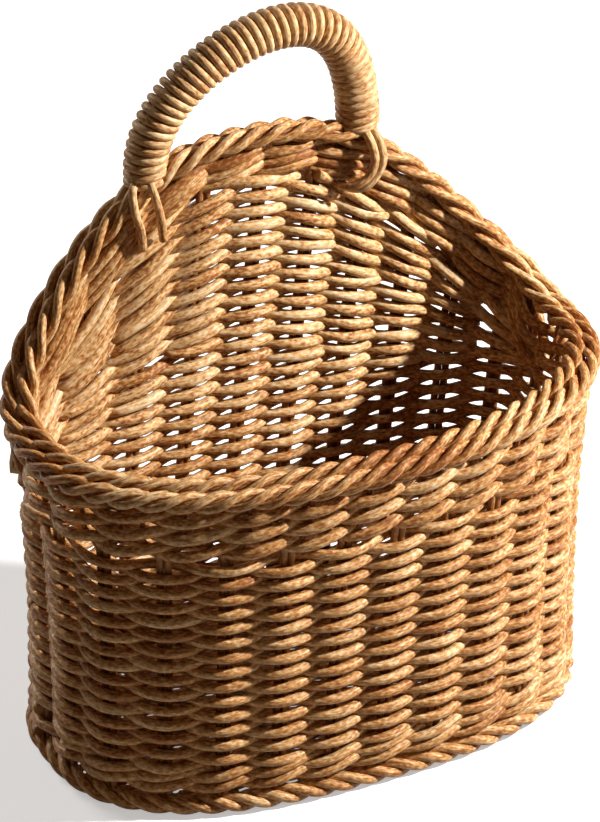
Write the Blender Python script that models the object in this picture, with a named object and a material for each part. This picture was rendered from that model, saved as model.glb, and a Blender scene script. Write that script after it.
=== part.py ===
# A small wall basket of woven cane, with a D-shaped bowl, a back that rises in an
# arch, a twisted border and a fixed bow handle bound with cane.
# Metres, +Z up. The basket stands on z = 0, its wall side faces +Y, its front -Y.

import math

import bpy
import numpy as np
from mathutils import Vector

# Bowl in plan: half widths to the left and right, depths to the front and back
FOOT_LEFT = 0.1030
FOOT_RIGHT = 0.1030
FOOT_FRONT = 0.0612
FOOT_BACK = 0.0470
FOOT_FRONT_POWER = 2.55
FOOT_BACK_POWER = 3.50
RIM_LEFT = 0.1095
RIM_RIGHT = 0.1115
RIM_FRONT = 0.0672
RIM_BACK = 0.0475
RIM_FRONT_POWER = 2.25
RIM_BACK_POWER = 3.45

# Bowl in height: the border's centre at the front, and how far the back arches above it
RIM_HEIGHT = 0.1435
ARCH_RISE = 0.0824
ARCH_WIDTH_SHARE = 0.46
ARCH_POWER = 2.5

# The wall flares near its top: shares of its height and of its total flare
FLARE_HEIGHT_SHARES = (0.0, 0.5, 0.8, 1.0)
FLARE_OUT_SHARES = (0.0, 0.10, 0.45, 1.0)

# The stakes lean to the right as they rise, most of all in the back
LEAN_ROUND_SHARE = 0.03
LEAN_BACK_SHARE = 0.07

# Canes
CLEARANCE = 0.0003
STAKE_RADIUS = 0.0013
STAKE_SPLIT = 0.0004
WEAVER_RADIUS = 0.00135
WEAVE_EASE = 0.0002
TWINED_CROSSING_SHARE = 0.88
TURN_STEPS = 3

# Stakes: an odd count, so that one cane's over and under change at every round
STAKE_COUNT = 25
STAKE_PHASE_SHARE = 0.3

# Rows of the wall, from the foot up
ROW_PITCH = 0.00335
WALL_CANE_COUNT = 4
SEAM_STAKE = 19
TWINED_PITCH = 0.0065
FOOT_TWINED_COUNT = 2
TOP_TWINED_COUNT = 3
TOP_TWINED_PITCH = 0.0075
TOP_TWINED_FRONT_DROP = 0.0110
TOP_TWINED_BACK_DROP = 0.0120
PACKING_TOP_GAP = 0.0018
PACKING_CANE_COUNT = 3

# Border along the top: three thick strands laid as a rope
BORDER_STRANDS = 3
BORDER_STRAND_RADIUS = 0.00185
BORDER_LAY_RADIUS = 0.0030
BORDER_TURNS = 20
BORDER_STEPS = 6
BORDER_OUT = 0.0012

# Foot border and base
FOOT_BORDER_RADIUS = 0.0022
FOOT_BORDER_EASE = 0.0004
FOOT_BORDER_POINTS = 70
STAKE_FOOT_HEIGHT = 0.0010
BASE_THICKNESS = 0.0045
BASE_POINTS = 72
BASE_STICK_COUNT = 5
BASE_STICK_SPREAD = 0.0780

# Bow handle
HANDLE_HALF_SPAN = 0.0439
HANDLE_RISE = 0.0470
HANDLE_OFFSET = 0.0012
HANDLE_SKEW = 0.0116
HANDLE_BACK_INSET = 0.0003
HANDLE_ARCH_POWER = 1.0
HANDLE_CORE_RADIUS = 0.0045
HANDLE_CORE_POINTS = 18
WRAP_RADIUS = 0.0013
WRAP_TURNS = 16
WRAP_STEPS = 8
LASHING_RADIUS = 0.0016
LASHING_TAIL = 0.0260
LASHING_END = 0.0150
LASHING_SIDE_GAP = 0.0110
LASHING_ARC_STEPS = 6

# How finely the curves are sampled and solved
RING_SAMPLES = 2880
HANDLE_SAMPLES = 720
SEAT_SAMPLES = 6
SOLVE_STEPS = 12
OUTWARD_STEP_SHARE = 0.25
SLOPE_STEP_SHARE = 0.1


# Clear the scene and make the collection that holds the basket
for old in list(bpy.data.objects):
    bpy.data.objects.remove(old, do_unlink=True)

basket = bpy.data.collections.new("wall_basket")
bpy.context.scene.collection.children.link(basket)

stand = bpy.data.objects.new("basket_origin", None)
basket.objects.link(stand)


def finish(name, colour, roughness):
    """Make a plain Principled material for one kind of cane."""
    material = bpy.data.materials.new(name)
    material.use_nodes = True
    shader = material.node_tree.nodes["Principled BSDF"]
    shader.inputs["Base Color"].default_value = (*colour, 1.0)
    shader.inputs["Roughness"].default_value = roughness
    shader.inputs["Metallic"].default_value = 0.0
    return material


STAKE_CANE = finish("stake_cane", (0.42, 0.17, 0.05), 0.55)
WEAVER_CANE = finish("weaver_cane", (0.66, 0.36, 0.13), 0.50)
BORDER_CANE = finish("border_cane", (0.70, 0.40, 0.15), 0.45)
FOOT_CANE = finish("foot_cane", (0.62, 0.32, 0.11), 0.50)
BASE_CANE = finish("base_cane", (0.50, 0.25, 0.09), 0.60)
HANDLE_CANE = finish("handle_cane", (0.72, 0.43, 0.17), 0.45)


def cane(name, points, radius, material, resolution=0, closed=False, upright=False):
    """Bend one round cane through the points, with its origin at the first of them."""
    curve = bpy.data.curves.new(name, "CURVE")
    curve.dimensions = "3D"
    curve.bevel_depth = radius
    curve.bevel_resolution = resolution
    curve.use_fill_caps = True
    curve.twist_mode = "Z_UP" if upright else "MINIMUM"
    spline = curve.splines.new("POLY")
    spline.points.add(len(points) - 1)
    origin = points[0]
    for knot, point in zip(spline.points, points):
        knot.co = (*(point - origin), 1.0)
    spline.use_cyclic_u = closed
    curve.materials.append(material)
    piece = bpy.data.objects.new(name, curve)
    piece.location = origin
    piece.parent = stand
    basket.objects.link(piece)
    return piece


class Ring:
    """A D-shaped ring in plan, read by the share of its length.

    Share 0 is the middle of the back, and the share grows round by the right side.
    """

    def __init__(self, left, right, front, back, front_power, back_power):
        angle = math.pi / 2 - np.linspace(0.0, 2 * math.pi, RING_SAMPLES + 1)
        cosine = np.cos(angle)
        sine = np.sin(angle)
        power = np.where(sine < 0, front_power, back_power)
        reach = (np.abs(cosine) ** power + np.abs(sine) ** power) ** (-1 / power)
        self.x = np.where(cosine < 0, left, right) * reach * cosine
        self.y = np.where(sine < 0, front, back) * reach * sine
        steps = np.hypot(np.diff(self.x), np.diff(self.y))
        self.distance = np.concatenate(([0.0], np.cumsum(steps)))
        self.length = float(self.distance[-1])

    def point(self, share):
        run = (share % 1.0) * self.length
        x = np.interp(run, self.distance, self.x)
        y = np.interp(run, self.distance, self.y)
        return Vector((float(x), float(y), 0.0))

    def outward(self, share):
        step = OUTWARD_STEP_SHARE / STAKE_COUNT
        along = self.point(share + step) - self.point(share - step)
        return Vector((-along.y, along.x, 0.0)).normalized()


foot_ring = Ring(FOOT_LEFT, FOOT_RIGHT, FOOT_FRONT, FOOT_BACK, FOOT_FRONT_POWER, FOOT_BACK_POWER)
rim_ring = Ring(RIM_LEFT, RIM_RIGHT, RIM_FRONT, RIM_BACK, RIM_FRONT_POWER, RIM_BACK_POWER)


def arch_share(share):
    """Share of the arch's rise: 0 round the front, 1 at the middle of the back."""
    from_back = 2 * min(share % 1.0, -share % 1.0) / ARCH_WIDTH_SHARE
    return max(0.0, 1.0 - from_back ** ARCH_POWER) ** 2


def rim_height(share):
    """Height of the border's centre: level at the front, arched at the back."""
    return RIM_HEIGHT + ARCH_RISE * arch_share(share)


def rim_slope(share):
    """Rise of the border per length along it."""
    step = SLOPE_STEP_SHARE / STAKE_COUNT
    rise = rim_height(share + step) - rim_height(share - step)
    return rise / (2 * step * rim_ring.length)


def below_rim(share, drop):
    """Height of a row that runs at a distance below the border's centre."""
    return rim_height(share) - drop * math.hypot(1.0, rim_slope(share))


def leaned(share, height):
    """Share that a stake has reached at a height, as it leans."""
    lean = LEAN_ROUND_SHARE + LEAN_BACK_SHARE * math.cos(2 * math.pi * share)
    return share + lean * height / rim_ring.length


def wall_point(share, height, out=0.0, along=0.0):
    """Point of the wall on a stake, moved outward and along the wall."""
    place = leaned(share, height)
    rise = height / rim_height(place)
    flare = float(np.interp(rise, FLARE_HEIGHT_SHARES, FLARE_OUT_SHARES))
    foot = foot_ring.point(place)
    rim = rim_ring.point(place)
    outward = foot_ring.outward(place).lerp(rim_ring.outward(place), flare).normalized()
    sideways = Vector((outward.y, -outward.x, 0.0))
    point = foot.lerp(rim, flare) + outward * out + sideways * along
    point.z = height
    return point


def stake_share(index):
    return (index + STAKE_PHASE_SHARE) / STAKE_COUNT


# Distances between the canes of the wall, worked out from their sizes
PAIR_OFFSET = STAKE_RADIUS + STAKE_SPLIT / 2
TOUCH = STAKE_RADIUS + WEAVER_RADIUS + CLEARANCE + WEAVE_EASE
STAKE_SPACING = foot_ring.length / STAKE_COUNT


def crossing_offset():
    """How far a weaver's centre passes outside or inside the pair of stakes."""
    offset = TOUCH
    for _ in range(SOLVE_STEPS):
        slope = 2 * offset / STAKE_SPACING
        offset = TOUCH * math.hypot(1.0, slope) + slope * PAIR_OFFSET
    return offset


CROSSING = crossing_offset()


def passing(share, side):
    """Offset of a weaver at a stake, outside (+1) or inside (-1), more at the corners."""
    half = 1 / (2 * STAKE_COUNT)
    turn = foot_ring.outward(share - half).angle(foot_ring.outward(share + half))
    slope = 2 * CROSSING / STAKE_SPACING + side * math.tan(turn / 2)
    return side * (TOUCH * math.hypot(1.0, slope) + abs(slope) * PAIR_OFFSET)


TWINED_LIFT = (WEAVER_RADIUS + CLEARANCE / 2) / TWINED_CROSSING_SHARE
TWINED_REACH = TWINED_LIFT + WEAVER_RADIUS
FOOT_BORDER_TOP = 2 * FOOT_BORDER_RADIUS + CLEARANCE
FOOT_TWINED_START = FOOT_BORDER_TOP + CLEARANCE + TWINED_REACH
FOOT_TWINED_TOP = FOOT_TWINED_START + (FOOT_TWINED_COUNT - 1) * TWINED_PITCH + TWINED_REACH
WALL_START = FOOT_TWINED_TOP + WEAVER_RADIUS + CLEARANCE
BORDER_REACH = BORDER_LAY_RADIUS + BORDER_STRAND_RADIUS


def stake_pair(index):
    """One cane folded into a hairpin: its two legs stand side by side in the wall."""
    share = stake_share(index)
    top_share = leaned(share, rim_height(share))
    top = below_rim(top_share, BORDER_REACH + STAKE_RADIUS + CLEARANCE)
    heights = [STAKE_FOOT_HEIGHT]
    heights += [part * rim_height(top_share) for part in FLARE_HEIGHT_SHARES[1:-1]]
    heights.append(top)
    left = [wall_point(share, height, along=-PAIR_OFFSET) for height in heights]
    right = [wall_point(share, height, along=PAIR_OFFSET) for height in heights]
    name = "stake_pair_%02d" % (index + 1)
    return cane(name, left[::-1] + right, STAKE_RADIUS, STAKE_CANE)


for number in range(STAKE_COUNT):
    stake_pair(number)


# Plain rows: one cane at a time winds round the bowl, over one pair and under the next
def wall_crossing(count):
    """Place where the plain weave crosses its count-th pair of stakes."""
    index = SEAM_STAKE + count
    height = WALL_START + ROW_PITCH * count / STAKE_COUNT
    share = stake_share(index)
    side = 1 if count % 2 == 0 else -1
    return wall_point(share, height, out=passing(leaned(share, height), side))


TOP_TWINED_FOOT = (RIM_HEIGHT - TOP_TWINED_FRONT_DROP - TWINED_REACH
                   - (TOP_TWINED_COUNT - 1) * TOP_TWINED_PITCH)
wall_room = TOP_TWINED_FOOT - WEAVER_RADIUS - ROW_PITCH / 2 - WALL_START
wall_rows = int(wall_room / ROW_PITCH)
wall_crossings = wall_rows * STAKE_COUNT
for number in range(WALL_CANE_COUNT):
    first = wall_crossings * number // WALL_CANE_COUNT
    end = wall_crossings * (number + 1) // WALL_CANE_COUNT
    route = [wall_crossing(count) for count in range(first, end)]
    cane("wall_weaver_%d" % (number + 1), route, WEAVER_RADIUS, WEAVER_CANE)


def wall_top(index):
    """Height of the last plain row where it crosses a pair of stakes."""
    count = wall_crossings - 1 - (SEAM_STAKE + wall_crossings - 1 - index) % STAKE_COUNT
    return WALL_START + ROW_PITCH * count / STAKE_COUNT


# Twined rows: two canes that change places between the pairs, one above the other
def height_on_stake(share, row_height, lap):
    """Height at which a leaning stake meets a row."""
    height = row_height(share, lap)
    for _ in range(SOLVE_STEPS):
        height = row_height(leaned(share, height), lap)
    return height


def twined_route(strand, rounds, row_height):
    """Route of one of the two canes through all its rounds."""
    route = []
    for step in range(rounds * STAKE_COUNT):
        index = SEAM_STAKE + step
        lap, place = divmod(step, STAKE_COUNT)
        outside = (step + strand) % 2 == 0
        share = stake_share(index)
        here = height_on_stake(share, row_height, lap)
        side = 1 if outside else -1
        route.append(wall_point(share, here, out=passing(leaned(share, here), side)))
        if step == rounds * STAKE_COUNT - 1:
            break
        later = stake_share(index + 1)
        next_lap = lap + (place + 1) // STAKE_COUNT
        there = height_on_stake(later, row_height, next_lap)
        lift = -TWINED_LIFT if outside else TWINED_LIFT
        steep = math.hypot(1.0, (there - here) / STAKE_SPACING)
        route.append(wall_point((share + later) / 2, (here + there) / 2 + lift * steep))
    return route


def foot_row(share, lap):
    return FOOT_TWINED_START + lap * TWINED_PITCH


def top_drop(share, lap):
    """Distance of a top row below the border, less where the back arches up."""
    drop = TOP_TWINED_BACK_DROP - TOP_TWINED_FRONT_DROP
    drop = TOP_TWINED_FRONT_DROP + drop * arch_share(share)
    return drop + (TOP_TWINED_COUNT - 1 - lap) * TOP_TWINED_PITCH


def top_row(share, lap):
    return below_rim(share, top_drop(share, lap))


for strand, letter in enumerate("ab"):
    lower = twined_route(strand, FOOT_TWINED_COUNT, foot_row)
    cane("foot_twined_%s" % letter, lower, WEAVER_RADIUS, WEAVER_CANE, upright=True)
    upper = twined_route(strand, TOP_TWINED_COUNT, top_row)
    cane("top_twined_%s" % letter, upper, WEAVER_RADIUS, WEAVER_CANE, upright=True)


# Packing: short rows that turn back inside the arch and tilt to follow it
def packing_top(share, lap):
    drop = top_drop(share, lap) + TWINED_REACH + WEAVER_RADIUS + PACKING_TOP_GAP
    return below_rim(share, drop)


TURN_RADIUS = TOUCH / math.cos(math.pi / (2 * TURN_STEPS))


class Packing:
    """Heights that the packed rows have reached on each pair of stakes."""

    def __init__(self):
        half = STAKE_COUNT // 2
        self.start = {index: wall_top(index % STAKE_COUNT) for index in range(-half, half + 1)}
        self.height = dict(self.start)
        self.turns = set()
        self.limit = {}
        for index in self.start:
            self.limit[index] = height_on_stake(stake_share(index), packing_top, 0)

    def pitch(self, index, stakes):
        """Upright distance to a row over some stakes, more where the row is steep."""
        slopes = [abs(self.height[near] - self.height[index]) / STAKE_SPACING
                  for near in (index - 1, index + 1) if near in stakes]
        pitch = ROW_PITCH * math.hypot(1.0, max(slopes))
        if index in self.turns and len(slopes) > 1:
            pitch += max(slopes) * (PAIR_OFFSET + TURN_RADIUS)
        return pitch

    def end(self, side):
        """Farthest stake on a side that lags behind the arch and has room for two rows."""
        middle = self.height[0] + ROW_PITCH - self.start[0]
        progress = middle / (self.limit[0] - self.start[0])
        reach = 0
        for count in range(1, STAKE_COUNT // 2):
            index = side * count
            goal = self.start[index] + (self.limit[index] - self.start[index]) * progress
            pitch = self.pitch(index, (index - side,))
            if self.height[index] + 2 * pitch > self.limit[index]:
                break
            if self.height[index] + ROW_PITCH / 2 < goal:
                reach = index
        return reach

    def row(self, first, last):
        """Lay one row from a stake to another and return its crossings."""
        side = 1 if last >= first else -1
        stakes = range(first, last + side, side)
        rise = {index: self.pitch(index, stakes) for index in stakes}
        for index in stakes:
            self.height[index] += rise[index]
        self.turns -= set(stakes)
        self.turns |= {first, last}
        return [(index, self.height[index]) for index in stakes]


def packed_rows():
    """All rows of the packing, each a list of stakes and heights, laid to and fro."""
    packing = Packing()
    rows = []
    side = 1
    here = packing.end(-1)
    while packing.height[0] + ROW_PITCH < packing.limit[0]:
        there = packing.end(side)
        if there == here:
            break
        rows.append(packing.row(here, there))
        here = there
        side = -side
    return rows


def turn_points(index, side, travel, low, high):
    """The cane turns round the last pair of stakes and changes sides."""
    share = stake_share(index)
    place = leaned(share, low)
    points = [wall_point(share, low, out=passing(place, side))]
    for step in range(1, TURN_STEPS):
        angle = math.pi / 2 - step * math.pi / TURN_STEPS
        along = travel * (PAIR_OFFSET + TURN_RADIUS * math.cos(angle))
        out = side * TURN_RADIUS * math.sin(angle)
        height = low + (high - low) * step / TURN_STEPS
        points.append(wall_point(share, height, out, along))
    points.append(wall_point(share, high, out=passing(place, -side)))
    return points


def packing_route(rows, first_row):
    """Route of one cane through some of the packed rows."""
    route = []
    for number, row in enumerate(rows):
        travel = 1 if row[-1][0] >= row[0][0] else -1
        for place, (index, height) in enumerate(row):
            side = 1 if (index + first_row + number) % 2 == 0 else -1
            if place == 0 and number > 0:
                continue
            if place == len(row) - 1 and number < len(rows) - 1:
                above = dict(rows[number + 1])[index]
                route += turn_points(index, side, travel, height, above)
            else:
                share = stake_share(index)
                offset = passing(leaned(share, height), side)
                route.append(wall_point(share, height, out=offset))
    return route


all_rows = packed_rows()
print("wall rows: %d, packed rows: %d" % (wall_rows, len(all_rows)))
for number in range(PACKING_CANE_COUNT):
    first = len(all_rows) * number // PACKING_CANE_COUNT
    end = len(all_rows) * (number + 1) // PACKING_CANE_COUNT
    route = packing_route(all_rows[first:end], first)
    cane("back_packing_%d" % (number + 1), route, WEAVER_RADIUS, WEAVER_CANE)


# Border along the top
def border_centre(share):
    point = rim_ring.point(share) + rim_ring.outward(share) * BORDER_OUT
    point.z = rim_height(share)
    return point


def border_strand(strand):
    """One strand of the border's rope, a closed round of the rim."""
    steps = BORDER_TURNS * BORDER_STEPS
    points = []
    for step in range(steps):
        share = step / steps
        ahead = border_centre(share + 1 / steps) - border_centre(share - 1 / steps)
        across = rim_ring.outward(share)
        upward = across.cross(ahead).normalized()
        angle = 2 * math.pi * (step / BORDER_STEPS + strand / BORDER_STRANDS)
        lay = across * math.cos(angle) + upward * math.sin(angle)
        points.append(border_centre(share) + lay * BORDER_LAY_RADIUS)
    return points


for strand, letter in enumerate("abc"[:BORDER_STRANDS]):
    cane("border_strand_%s" % letter, border_strand(strand), BORDER_STRAND_RADIUS,
         BORDER_CANE, closed=True)


# Foot border and base
def foot_point(share, out, height):
    point = foot_ring.point(share) + foot_ring.outward(share) * out
    point.z = height
    return point


FOOT_BORDER_OUT = STAKE_RADIUS + CLEARANCE + FOOT_BORDER_EASE + FOOT_BORDER_RADIUS
FOOT_BORDER_LIFT = FOOT_BORDER_RADIUS + CLEARANCE
foot_round = [foot_point(step / FOOT_BORDER_POINTS, FOOT_BORDER_OUT, FOOT_BORDER_LIFT)
              for step in range(FOOT_BORDER_POINTS)]
cane("foot_border", foot_round, FOOT_BORDER_RADIUS, FOOT_CANE, resolution=1, closed=True)

BASE_INSET = STAKE_RADIUS + CLEARANCE
STICK_INSET = CROSSING + WEAVER_RADIUS + CLEARANCE


def base_mat():
    """Woven base, a flat D-shaped mat that the basket stands on."""
    curve = bpy.data.curves.new("base_mat", "CURVE")
    curve.dimensions = "2D"
    curve.fill_mode = "BOTH"
    curve.extrude = BASE_THICKNESS / 2
    spline = curve.splines.new("POLY")
    spline.points.add(BASE_POINTS - 1)
    for step, knot in enumerate(spline.points):
        point = foot_point(step / BASE_POINTS, -BASE_INSET, 0.0)
        knot.co = (point.x, point.y, 0.0, 1.0)
    spline.use_cyclic_u = True
    curve.materials.append(BASE_CANE)
    piece = bpy.data.objects.new("base_mat", curve)
    piece.location = (0.0, 0.0, BASE_THICKNESS / 2)
    piece.parent = stand
    basket.objects.link(piece)


base_mat()


def stick_end(across, side):
    """Depth at which a stick meets the foot of the wall, in front (-1) or behind (+1)."""
    shares = np.linspace(0.0, 1.0, RING_SAMPLES + 1)
    edge = [foot_point(share, -STICK_INSET, 0.0) for share in shares]
    near = [point.y for point in edge if point.y * side > 0 and abs(point.x - across) < STAKE_RADIUS]
    return sum(near) / len(near)


for number in range(BASE_STICK_COUNT):
    across = BASE_STICK_SPREAD * (2 * number / (BASE_STICK_COUNT - 1) - 1)
    lift = BASE_THICKNESS + CLEARANCE + STAKE_RADIUS
    front = Vector((across, stick_end(across, -1), lift))
    back = Vector((across, stick_end(across, 1), lift))
    cane("base_stick_%d" % (number + 1), [front, back], STAKE_RADIUS, STAKE_CANE, resolution=1)


# Bow handle
HANDLE_DEPTH = RIM_BACK - HANDLE_BACK_INSET


def handle_foot_height(across):
    """Height at which an end of the handle rests on the strands of the border."""
    seat = 0.0
    for strand in range(BORDER_STRANDS):
        knots = border_strand(strand)
        for start, end in zip(knots, knots[1:] + knots[:1]):
            for step in range(SEAT_SAMPLES):
                point = start.lerp(end, step / SEAT_SAMPLES)
                apart = math.hypot(point.x - across, point.y - HANDLE_DEPTH)
                over = max(apart - HANDLE_CORE_RADIUS, 0.0)
                if over < BORDER_STRAND_RADIUS:
                    top = point.z + math.sqrt(BORDER_STRAND_RADIUS ** 2 - over ** 2)
                    seat = max(seat, top)
    return seat + CLEARANCE


HANDLE_LEFT_FOOT = handle_foot_height(HANDLE_OFFSET - HANDLE_HALF_SPAN)
HANDLE_RIGHT_FOOT = handle_foot_height(HANDLE_OFFSET + HANDLE_HALF_SPAN)


def handle_curve():
    """Dense centre line of the handle, and the distance along it."""
    points = []
    for step in range(HANDLE_SAMPLES + 1):
        part = step / HANDLE_SAMPLES
        angle = math.pi * (1 - part)
        rise = math.sin(angle) ** HANDLE_ARCH_POWER if 0 < part < 1 else 0.0
        lean = HANDLE_SKEW * math.sin(angle) ** 2
        x = HANDLE_OFFSET + HANDLE_HALF_SPAN * math.cos(angle) + lean
        foot = HANDLE_LEFT_FOOT + (HANDLE_RIGHT_FOOT - HANDLE_LEFT_FOOT) * part
        z = foot + HANDLE_RISE * rise
        points.append((x, z))
    points = np.array(points)
    steps = np.hypot(*np.diff(points, axis=0).T)
    return points, np.concatenate(([0.0], np.cumsum(steps)))


handle_points, handle_distance = handle_curve()
HANDLE_LENGTH = float(handle_distance[-1])


def handle_point(distance):
    x = np.interp(distance, handle_distance, handle_points[:, 0])
    z = np.interp(distance, handle_distance, handle_points[:, 1])
    return Vector((float(x), HANDLE_DEPTH, float(z)))


core_spacing = (HANDLE_LENGTH - 2 * HANDLE_CORE_RADIUS) / (HANDLE_CORE_POINTS - 1)
core_route = [handle_point(HANDLE_CORE_RADIUS + core_spacing * step)
              for step in range(HANDLE_CORE_POINTS)]
core_route = [handle_point(0.0)] + core_route + [handle_point(HANDLE_LENGTH)]
cane("handle_core", core_route, HANDLE_CORE_RADIUS, HANDLE_CANE, resolution=2)

WRAP_LAY_RADIUS = ((HANDLE_CORE_RADIUS + WRAP_RADIUS + CLEARANCE)
                   / math.cos(math.pi / WRAP_STEPS))


def wrap_route(start, finish_at):
    """One cane wound round the handle's core between two distances along it."""
    steps = WRAP_TURNS * WRAP_STEPS
    points = []
    for step in range(steps + 1):
        distance = start + (finish_at - start) * step / steps
        margin = HANDLE_CORE_RADIUS
        ahead = handle_point(min(distance + margin, HANDLE_LENGTH))
        behind = handle_point(max(distance - margin, 0.0))
        along = (ahead - behind).normalized()
        deep = Vector((0.0, 1.0, 0.0))
        inward = along.cross(deep)
        angle = 2 * math.pi * step / WRAP_STEPS
        lay = deep * math.cos(angle) + inward * math.sin(angle)
        points.append(handle_point(distance) + lay * WRAP_LAY_RADIUS)
    return points


def least_gap(points, radius, turn):
    """Least clear distance between one turn of a winding and all later ones."""
    places = np.array([tuple(point) for point in points])
    nearest = math.inf
    quarter = turn // 4
    for step in range(len(places) - turn + quarter):
        far = places[step + turn - quarter:]
        nearest = min(nearest, float(np.min(np.linalg.norm(far - places[step], axis=1))))
    return nearest - 2 * radius


wrap_start = HANDLE_CORE_RADIUS + CLEARANCE
middle = HANDLE_LENGTH / 2
wraps = {
    "handle_wrap_left": (wrap_start, middle - WRAP_RADIUS - CLEARANCE),
    "handle_wrap_right": (middle + WRAP_RADIUS + CLEARANCE, HANDLE_LENGTH - wrap_start),
}
for name, (start, finish_at) in wraps.items():
    route = wrap_route(start, finish_at)
    gap = least_gap(route, WRAP_RADIUS, WRAP_STEPS)
    print("%s: least gap between turns %.2f mm" % (name, gap * 1000))
    cane(name, route, WRAP_RADIUS, HANDLE_CANE, resolution=1)


# Lashings: a cane bent over the border beside each end of the handle
LASHING_IN = CROSSING + WEAVER_RADIUS + CLEARANCE + LASHING_RADIUS
LASHING_OVER = BORDER_REACH + CLEARANCE + LASHING_RADIUS


def lashing_route(share):
    """Down the inside of the wall, over the border and down the outside."""
    across = rim_ring.outward(share)
    centre = border_centre(share)
    steep = math.hypot(1.0, rim_slope(share))
    reach = LASHING_OVER / math.cos(math.pi / (2 * LASHING_ARC_STEPS))
    inner = rim_ring.point(share) - across * LASHING_IN
    inner.z = centre.z - LASHING_TAIL
    route = [inner]
    for step in range(LASHING_ARC_STEPS + 1):
        angle = math.pi - math.pi * step / LASHING_ARC_STEPS
        lay = across * (reach * math.cos(angle))
        lay.z = reach * steep * math.sin(angle)
        route.append(centre + lay)
    outer = route[-1].copy()
    outer.z = centre.z - LASHING_END
    route.append(outer)
    return route


for side, name in ((-1, "left"), (1, "right")):
    across = HANDLE_OFFSET + side * (HANDLE_HALF_SPAN + LASHING_SIDE_GAP)
    route = lashing_route(across / rim_ring.length)
    cane("handle_lashing_%s" % name, route, LASHING_RADIUS, HANDLE_CANE, resolution=1)


# Put the origin under the middle of the basket's outline, on the level it stands on
bpy.context.view_layer.update()
graph = bpy.context.evaluated_depsgraph_get()
corners = []
for piece in basket.objects:
    if piece.type == "CURVE":
        box = piece.evaluated_get(graph).bound_box
        corners += [piece.matrix_world @ Vector(corner) for corner in box]
for axis in (0, 1):
    reached = [corner[axis] for corner in corners]
    stand.location[axis] = -(min(reached) + max(reached)) / 2
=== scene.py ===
import math

import bpy
import numpy as np
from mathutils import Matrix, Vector


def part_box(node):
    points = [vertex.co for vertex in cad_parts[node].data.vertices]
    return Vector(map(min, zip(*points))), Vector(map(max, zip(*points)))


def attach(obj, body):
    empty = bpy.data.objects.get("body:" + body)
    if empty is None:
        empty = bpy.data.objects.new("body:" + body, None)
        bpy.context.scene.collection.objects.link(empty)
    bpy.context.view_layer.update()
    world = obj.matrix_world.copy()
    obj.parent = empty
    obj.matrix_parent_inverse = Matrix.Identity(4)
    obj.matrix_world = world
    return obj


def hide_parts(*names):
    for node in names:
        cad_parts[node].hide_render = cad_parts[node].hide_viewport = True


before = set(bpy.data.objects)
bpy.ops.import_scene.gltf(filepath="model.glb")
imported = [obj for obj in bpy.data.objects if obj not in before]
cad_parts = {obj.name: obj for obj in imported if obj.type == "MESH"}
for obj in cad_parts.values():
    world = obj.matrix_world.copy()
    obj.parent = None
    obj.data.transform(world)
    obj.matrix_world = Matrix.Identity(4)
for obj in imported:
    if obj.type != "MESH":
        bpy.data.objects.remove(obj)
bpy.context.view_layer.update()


# Base: a D-shaped mat of thin canes woven over and under a few stout sticks. The canes
# run from end to end of the basket, the sticks from front to back. It is woven first,
# and the stakes of the wall are pushed in along its edge.
FOOT_LEFT = 0.1030
FOOT_RIGHT = 0.1030
FOOT_FRONT = 0.0612
FOOT_BACK = 0.0470
FOOT_FRONT_POWER = 2.55
FOOT_BACK_POWER = 3.50
MAT_EDGE = 0.0016
RING_POINTS = 2880
OUTLINE_STRETCH = 0.01

mat_low, mat_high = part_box("base_mat")
middle = np.array([(mat_low.x + mat_high.x) / 2, mat_low.y + FOOT_FRONT - MAT_EDGE, 0.0])


def d_outline(left, right, front, back, front_power, back_power):
    """A D-shaped outline from the middle of the back round by the right side."""
    angle = math.pi / 2 - np.linspace(0.0, 2 * math.pi, RING_POINTS + 1)
    cosine, sine = np.cos(angle), np.sin(angle)
    power = np.where(sine < 0, front_power, back_power)
    reach = (np.abs(cosine) ** power + np.abs(sine) ** power) ** (-1 / power)
    x = np.where(cosine < 0, left, right) * reach * cosine
    y = np.where(sine < 0, front, back) * reach * sine
    run = np.concatenate(([0.0], np.cumsum(np.hypot(np.diff(x), np.diff(y)))))
    return run, x, y


foot = d_outline(FOOT_LEFT, FOOT_RIGHT, FOOT_FRONT, FOOT_BACK, FOOT_FRONT_POWER, FOOT_BACK_POWER)


def on_outline(outline, share):
    """Points on an outline, at shares of the way round it."""
    run, x, y = outline
    at = np.mod(share, 1.0) * run[-1]
    return np.stack([np.interp(at, run, x), np.interp(at, run, y)], axis=-1)


def outward_from(outline, share):
    """Unit vectors that point out of an outline, smoothed over a short stretch."""
    ahead = on_outline(outline, share + OUTLINE_STRETCH)
    along = ahead - on_outline(outline, share - OUTLINE_STRETCH)
    out = np.stack([-along[..., 1], along[..., 0]], axis=-1)
    return out / np.linalg.norm(out, axis=-1, keepdims=True)


def unit(vectors):
    """The same directions, each one long."""
    return vectors / np.linalg.norm(vectors, axis=-1, keepdims=True)


# Each cane takes another stretch of the same grain, by its number and its piece's name.
GRAIN_PER_CANE = 0.731
GRAIN_PER_LETTER = 0.377
CANE_SIDES = 8
NEARLY_UPRIGHT = 0.1


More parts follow.
